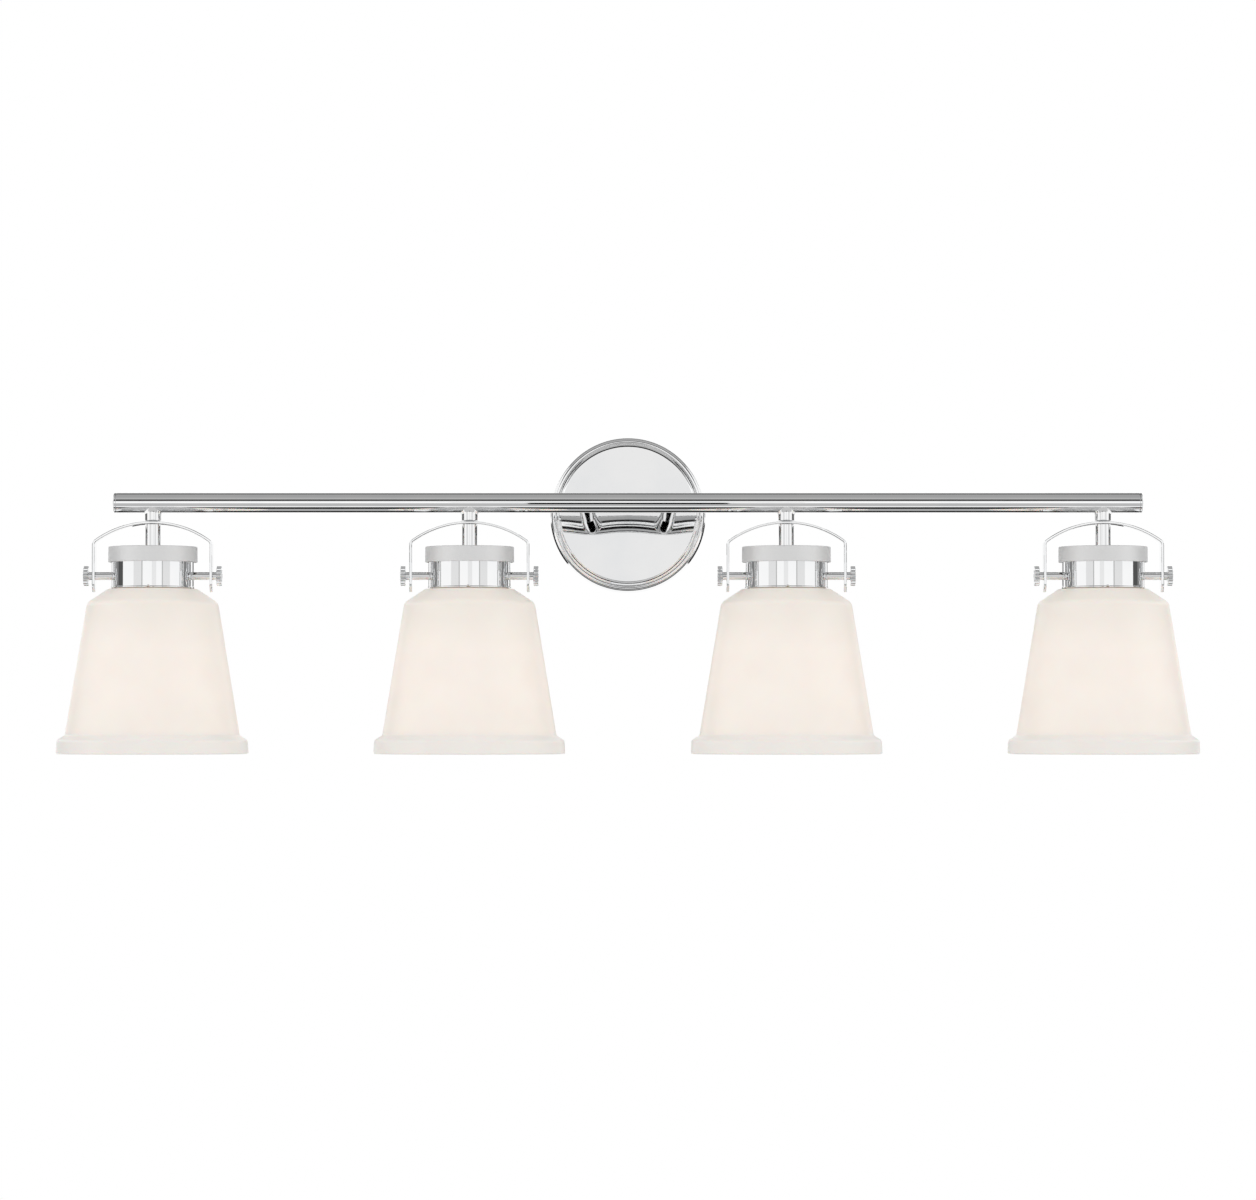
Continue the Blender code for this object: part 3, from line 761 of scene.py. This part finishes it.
def make_thumbscrews(n):
    """Fluted knobs on plain shanks, through the strap's legs and the holder to the glass's neck."""
    shank_r, knob_length = 2.75, 3.4
    flutes, flute_depth = 14, 0.95
    for side, sign in SIDES:
        node = f"thumbscrew_{side}_{n}"
        low, high = node_box(node)
        middle = (low + high) / 2
        knob_r = (high.z - low.z) / 2
        reach = [abs(low.x - HEAD_X[n]), abs(high.x - HEAD_X[n])]
        tip, out = min(reach), max(reach)
        knob_in = out - knob_length

        def fluted(r, z, angle):
            if z < knob_in - 0.1 or r < knob_r * 0.75:
                return r, z
            groove = (0.5 + 0.5 * math.cos(flutes * angle)) ** 1.5
            return r - flute_depth * groove, z

        outline = rounded([(0, out - 0.35), (3.6, out - 0.35), (4.4, out, 0.3), (knob_r, out, 0.45),
                           (knob_r, knob_in, 0.45), (3.9, knob_in, 0.3), (3.4, knob_in - 0.25),
                           (shank_r, knob_in - 0.25), (shank_r, tip + 0.7, 0.2), (shank_r - 0.8, tip),
                           (0, tip)], closed=False)
        screw = turned(outline, sides=flutes * 12, closed=False, warp=fluted)
        add_piece(f"thumb_knob_{side}_{n}", screw, "chrome", "chrome", [node], body=node,
                  at=(HEAD_X[n], middle.y, middle.z), turn=(0, 90 * sign, 0))


# ---------------------------------------------------------------- glass, socket and lamp

def make_shade(n, at):
    """The bell: a neck with a bead, a round shoulder, straight walls and a flared, thick rim."""
    low, high = node_box(f"shade_{n}")
    top, end, rim = high.z, low.z, (high.x - low.x) / 2
    shoulder = top - NECK_DEPTH
    bead_r, neck_r, bore_r = 27.5, 26.0, 22.4
    outline = rounded([(bead_r, top, 0.5), (bead_r, top - 2.4, 0.6), (neck_r, top - 3.2, 0.8),
                       (neck_r, shoulder + 0.1, 1.2), (31.6, shoulder - 0.1, 2.0),
                       (46.4, shoulder - 9.9, 6.5), (61.9, end + 13.2, 2.2), (67.6, end + 9.8, 3.4),
                       (rim, end, 1.1), (rim - 4.9, end, 1.2), (58.2, end + 14.6, 5.0),
                       (42.6, shoulder - 12.9, 5.0), (28.4, shoulder - 3.7, 3.0),
                       (bore_r, shoulder - 1.1, 1.5), (bore_r, top, 0.6)], steps=9)
    add_piece(f"opal_shade_{n}", turned(outline, sides=160, sharp=60), "opal", "opal_glass", [f"shade_{n}"],
              at=at)


def make_socket(n, at):
    """The lampholder: a hub round the nipple, a body with a groove, and the bore for the lamp's shell."""
    low, high = node_box(f"socket_{n}")
    radius, top, end = (high.x - low.x) / 2, high.z, low.z
    hub_r, bore_r = 8.0, 13.9
    outline = rounded([(STEM_BORE_R, top), (hub_r, top, 0.5), (hub_r, top - 4.3, 0.5),
                       (radius - 3.5, top - 4.3, 0.6), (radius, top - 7.3, 0.8), (radius, end + 9),
                       (radius - 0.5, end + 8.6), (radius - 0.5, end + 7.4), (radius, end + 7),
                       (radius, end, 0.8), (bore_r, end, 0.6), (bore_r, top - 9.8, 0.5), (0, top - 9.8),
                       (STEM_BORE_R, top - 6.2)])
    add_piece(f"lampholder_{n}", turned(outline, sides=72), "phenolic", "phenolic", [f"socket_{n}"], at=at)


def make_bulb(n, at):
    """A-shape lamp: frosted envelope, rolled screw shell, black insulator and contact."""
    node = f"bulb_{n}"
    low, high = node_box(node)
    tip, end, globe_r = high.z, low.z, 30.0
    add_piece(f"lamp_envelope_{n}", lamp_envelope(tip, end, globe_r), "lamp", "lamp_glass", [node], body=node,
              at=at)
    add_piece(f"lamp_shell_{n}", lamp_shell(tip), "shell", "zinc_steel", [node], body=node, at=at)
    cone = rounded([(0, tip - 1.2), (5.2, tip - 1.2, 0.5), (12.2, tip - 5.3), (0, tip - 5.3)], closed=False)
    add_piece(f"lamp_insulator_{n}", turned(cone, sides=48, closed=False), "phenolic", "phenolic", [node],
              body=node, at=at)
    button = rounded([(0, tip), (3.6, tip - 0.3, 0.8), (4.0, tip - 1.1), (0, tip - 1.1)], closed=False)
    add_piece(f"lamp_contact_{n}", turned(button, sides=32, closed=False), "shell", "zinc_steel", [node],
              body=node, at=at)


def lamp_envelope(tip, end, globe_r):
    """A globe whose neck leaves it in line, 30 degrees above its middle, on a Bezier curve to the shell."""
    leave = math.radians(30)
    globe = arc((0, end + globe_r), globe_r, 30, -89, 30)
    joined = globe[0]
    start = (13.6, tip - 26.5)
    handles = [start, (start[0], start[1] - 12),
               (joined[0] - 13 * math.sin(leave), joined[1] + 13 * math.cos(leave)), joined]
    neck = []
    for i in range(16):
        t = i / 16
        weights = ((1 - t) ** 3, 3 * t * (1 - t) ** 2, 3 * t ** 2 * (1 - t), t ** 3)
        neck.append(tuple(sum(w * h[axis] for w, h in zip(weights, handles)) for axis in (0, 1)))
    return turned([(0, tip - 25), (12.6, tip - 25)] + neck + globe + [(0, end)], closed=False)


def lamp_shell(tip):
    """The screw shell, its thread rolled in and fading out at both ends."""
    pitch, thread_depth = 3.63, 0.9

    def thread(r, z, angle):
        inside = min(max((tip - 7.5 - z) / 1.5, 0.0), 1.0) * min(max((z - tip + 25) / 1.5, 0.0), 1.0)
        wave = 0.5 + 0.5 * math.cos(2 * math.pi * z / pitch + angle)
        return r - thread_depth * inside * (1 - wave), z

    wall = [(13.2, tip - 5.6 - 0.35 * k) for k in range(60)]
    shell = [(0, tip - 5.4), (12.6, tip - 5.4)] + wall + [(13.0, tip - 26.6), (0, tip - 26.6)]
    return turned(shell, sides=64, closed=False, warp=thread)


def make_lead(n):
    """One socket's wire, through the nipple, the bar and an arm, to the space behind the plate. The outer
    head's wire lies over the inner one's."""
    wire_r = 1.2
    x = HEAD_X[n]
    sign = 1 if x > 0 else -1
    outer = n in (HEADS[0], HEADS[-1])
    up = 1.9 if outer else -1.9
    tail = 6.0 if outer else -6.0
    arm = middle_of(f"arm_{'right' if sign > 0 else 'left'}").x
    spigot_end = -node_box("arm_left")[1].y
    foot = node_box(f"lead_{n}")[0].z + wire_r
    front, back = -BAR_OUT + 10, -spigot_end - 3
    # Close enough together near the plate that the curve stays inside the arm's bore
    in_arm = [(arm, front + (back - front) * share, up) for share in (0.0, 0.35, 0.65, 0.88, 1.0)]
    corners = [(x, -BAR_OUT, foot), (x, -BAR_OUT, -8), (x - sign * 4, -BAR_OUT, up - 0.7),
               (x - sign * 14, -BAR_OUT, up), (arm + sign * 12, -BAR_OUT, up),
               (arm + sign * 2, -BAR_OUT + 2, up), *in_arm, (arm - sign * 3, -spigot_end + 3, up),
               (arm - sign * 13, -spigot_end + 4.5, tail)]
    wire = tube_along(smooth_route(corners), wire_r)
    add_piece(f"socket_wire_{n}", wire, "wire", "lead_white", [f"lead_{n}"])


def make_head(n):
    """All that hangs from the bar in one place, but for its wire."""
    at = (HEAD_X[n], BAR.y, 0)
    make_collar(n, at)
    make_strap(n, at)
    make_stem(n, at)
    make_cap(n, at)
    make_holder(n, at)
    make_thumbscrews(n)
    make_shade(n, at)
    make_socket(n, at)
    make_bulb(n, at)


def repeat_head(pieces, n):
    """The first head's pieces again, each with its own mesh, over head n's nodes."""
    shift = HEAD_X[n] - HEAD_X[1]

    def renamed(text):
        return text.removesuffix("_1") + f"_{n}" if text.endswith("_1") else text

    for name, mesh, material, slot, stands_for, body, at, turn in pieces:
        nodes = [renamed(node) for node in stands_for]
        add_piece(renamed(name), mesh.copy(), material, slot, nodes, renamed(body),
                  (at[0] + shift, at[1], at[2]), turn)


def make_heads():
    """The first head is made and the others are its copies, each with a wire of its own route."""
    first = len(PLACED)
    make_head(1)
    pieces = PLACED[first:]
    for n in HEADS[1:]:
        repeat_head(pieces, n)
    for n in HEADS:
        make_lead(n)


def finish_carried_nodes():
    """The nipples are shown as the CAD has them, in the zinc's own material."""
    for n in HEADS:
        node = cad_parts[f"nipple_{n}"]
        node.data.materials.clear()
        node.data.materials.append(MATERIAL["zinc"])


# ---------------------------------------------------------------- stage

def stage_card(name, bearing, elevation, distance, width, height, level):
    """A card that only polished surfaces see: square on to the fixture from a bearing (0 is the camera's,
    positive to the right) and an elevation in degrees, with its size in metres. level is its brightness,
    1 being the backdrop's."""
    material = bpy.data.materials.new(name)
    material.use_nodes = True
    tree = material.node_tree
    tree.nodes.clear()
    glow = add_node(tree, "ShaderNodeEmission", inputs={"Color": srgb("ffffff"), "Strength": level})
    add_node(tree, "ShaderNodeOutputMaterial", links=[(glow.outputs[0], "Surface")])
    mesh = bpy.data.meshes.new(name)
    w, h = width / 2, height / 2
    mesh.from_pydata([(-w, -h, 0), (w, -h, 0), (w, h, 0), (-w, h, 0)], [], [(0, 1, 2, 3)])
    mesh.materials.append(material)
    card = add_object(name, mesh)
    a, e = math.radians(bearing), math.radians(elevation)
    out = Vector((math.sin(a) * math.cos(e), -math.cos(a) * math.cos(e), math.sin(e)))
    card.location = out * distance + BAR / 1000
    card.rotation_euler = (-out).to_track_quat("-Z", "Y").to_euler()
    card.visible_camera = False
    card.visible_diffuse = False
    card.visible_transmission = False
    card.visible_volume_scatter = False
    card.visible_shadow = False


def span(degrees, distance):
    """How wide a card at that distance is, to fill so many degrees."""
    return 2 * distance * math.tan(math.radians(degrees) / 2)


def make_world():
    """Even white light from all round, which is the backdrop too."""
    world = bpy.data.worlds.new("studio")
    bpy.context.scene.world = world
    world.use_nodes = True
    sky = world.node_tree.nodes["Background"]
    sky.inputs["Color"].default_value = srgb("ffffff")
    sky.inputs["Strength"].default_value = 1.0


def make_floor():
    radius, drop = 5.5, 2.6     # in metres
    shape = bmesh.new()
    bmesh.ops.create_circle(shape, cap_ends=True, segments=96, radius=radius)
    mesh = mesh_from(shape)
    material, _, _ = new_material("pale floor", Base_Color=srgb("e6e6e4"), Roughness=0.9)
    mesh.materials.append(material)
    floor = add_object("floor", mesh)
    floor.location = (0, 0, -drop)


def make_cards():
    """The room that the chrome mirrors."""
    # Bands that the tubes show along their length, from behind over the top and down
    far, near = 4.0, 1.15
    for name, low, high, distance, width, level in (
            ("high back", 119, 150, far, 9.0, 0.02), ("ceiling behind", 98, 119, far, 9.0, 0.37),
            ("ceiling over", 66, 98, far, 9.0, 0.38), ("ceiling front", 50, 66, far, 9.0, 0.43),
            ("ceiling lip", 38, 50, far, 9.0, 0.52), ("ceiling edge", 22, 38, far, 7.0, 0.02),
            ("upper grey", 15, 22, far, 7.0, 0.40), ("upper light", 7, 15, far, 7.0, 1.15),
            ("table front", -20, -8.5, 2.6, 5.0, 0.44), ("table", -32, -20, 2.6, 5.0, 0.56),
            ("table back", -42, -32, near, 3.2, 0.50), ("floor light", -54, -42, near, 3.2, 1.0),
            ("floor gap", -78, -54, near, 3.2, 0.0), ("floor under", -101, -78, near, 3.2, 0.44),
            ("floor behind", -112, -101, near, 3.2, 0.42), ("low back", -150, -112, near, 3.2, 0.01)):
        stage_card(name, 0, (low + high) / 2, distance, width, span(high - low, distance), level)
    # The dark camera and its stand, a thin line in the bar's middle, and the lit wall over them, which the
    # backplate mirrors
    stage_card("camera stand", 0, -10.0, 2.5, 0.26, 0.88, 0.0)
    stage_card("room wall", 0, 3.0, 2.0, 0.42, 0.36, 0.86)
    # Stripes that the upright pieces show at their sides
    for side, sign in SIDES:
        for name, low, high, level in (("side seam", 27, 30, 0.50), ("side grey", 30, 52, 0.80),
                                       ("side dark", 86, 104, 0.09), ("side mid", 104, 120, 0.22),
                                       ("back dark", 120, 139, 0.0), ("far back", 158, 170, 0.01)):
            stage_card(f"{name} {side}", sign * (low + high) / 2, 1, far, span(high - low, far), 1.6, level)


def make_camera():
    away, drop = 3.0, 0.154     # from the bar, in metres
    tilt_up = 1.62
    camera = add_object("camera", bpy.data.cameras.new("camera"))
    camera.location = (0, BAR.y / 1000 - away, -drop)
    camera.rotation_euler = (math.radians(90 + tilt_up), 0, 0)
    camera.data.lens = 120.9
    camera.data.sensor_width = 36
    camera.data.clip_end = 50
    bpy.context.scene.camera = camera
    bpy.context.scene.view_settings.view_transform = "Standard"


def main():
    make_materials()
    make_bar()
    make_arms()
    make_backplate()
    make_crossbar()
    make_heads()
    finish_carried_nodes()
    make_world()
    make_floor()
    make_cards()
    make_camera()


main()
